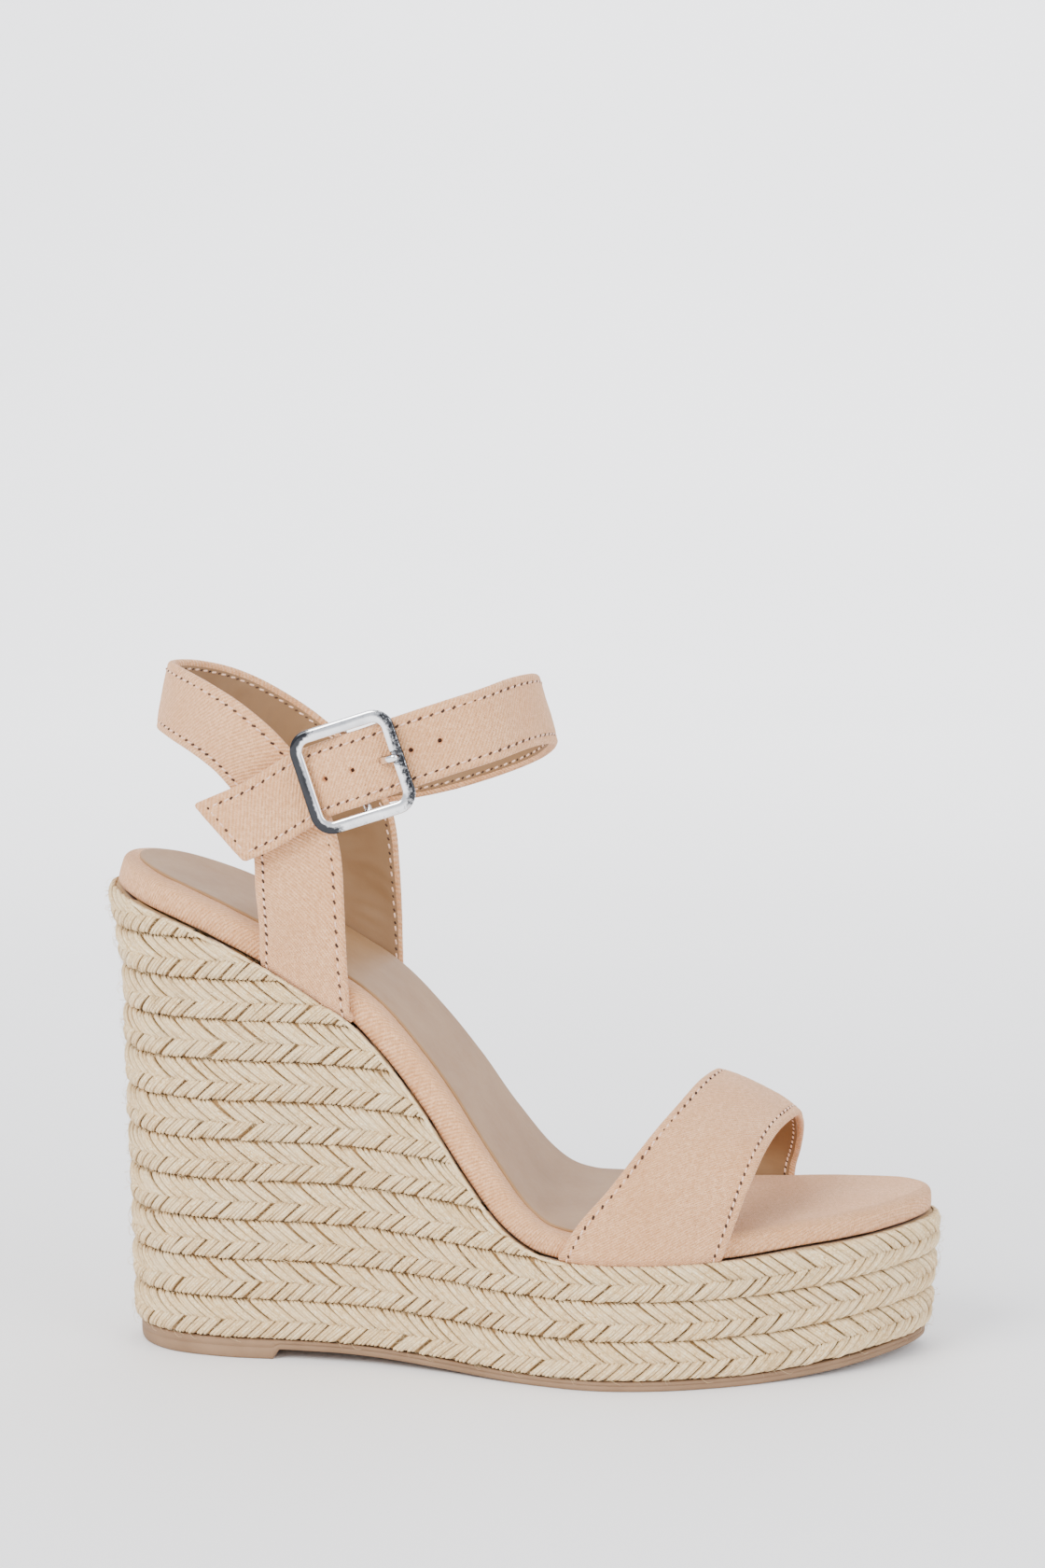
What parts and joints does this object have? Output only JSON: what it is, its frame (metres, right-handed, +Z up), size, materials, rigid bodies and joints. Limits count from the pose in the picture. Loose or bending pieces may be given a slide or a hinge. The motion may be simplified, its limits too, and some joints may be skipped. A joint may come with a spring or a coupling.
{
  "type": "wedge sandal",
  "caption": "Wedge sandal: braided jute wedge under a wrapped footbed, with a toe strap, a heel sling and a buckled ankle strap.",
  "frame": {"origin": "centre of the bounding box, on the ground under the sole", "axes": "+X from heel to toe, +Y to the medial side of this right shoe, +Z up"},
  "size_m": [0.2222, 0.0844, 0.1845],
  "materials": {
    "outsole": "matte, moulded",
    "wedge_core": "moulded cork",
    "braid": "rough braided jute",
    "shank": "plain rolled strip",
    "board": "fibre board",
    "foam": "open-cell foam",
    "microsuede": "napped microsuede",
    "lining": "smooth, softly glossy",
    "buckle": "bright nickel plate"
  },
  "bodies": {
    "sole": {"outsole": "outsole", "wedge_core": "wedge_core", "braid_row_01": "braid", "braid_row_02": "braid", "braid_row_03": "braid", "braid_row_04": "braid", "braid_row_05": "braid", "braid_row_06": "braid", "braid_row_07": "braid", "braid_row_08": "braid", "braid_row_09": "braid", "braid_row_10": "braid", "braid_row_11": "braid", "steel_shank": "shank", "insole_board": "board", "foam_pad": "foam", "insole_cover": "microsuede", "sock_liner": "lining", "toe_strap_outer": "microsuede", "toe_strap_lining": "lining", "heel_sling_outer": "microsuede", "heel_sling_lining": "lining"},
    "ankle_strap": {"ankle_strap_outer": "microsuede", "ankle_strap_lining": "lining", "buckle_tab": "microsuede"},
    "buckle_frame": {"buckle_frame": "buckle"},
    "buckle_prong": {"buckle_prong": "buckle"}
  },
  "joints": [
    {"name": "ankle_strap_swing", "type": "hinge", "parent": "sole", "child": "ankle_strap", "pos_m": [-0.0558, 0.00121, 0.1525], "axis": [0, 1, 0], "range_deg": [-8, 12]},
    {"name": "buckle_pivot", "type": "hinge", "parent": "ankle_strap", "child": "buckle_frame", "pos_m": [-0.0383, -0.03339, 0.161], "axis": [-0.3159, 0, 0.9488], "range_deg": [-2, 2]},
    {"name": "prong_pivot", "type": "hinge", "parent": "buckle_frame", "child": "buckle_prong", "pos_m": [-0.0383, -0.03339, 0.161], "axis": [0.3159, 0, -0.9488], "range_deg": [0, 5]}
  ]
}
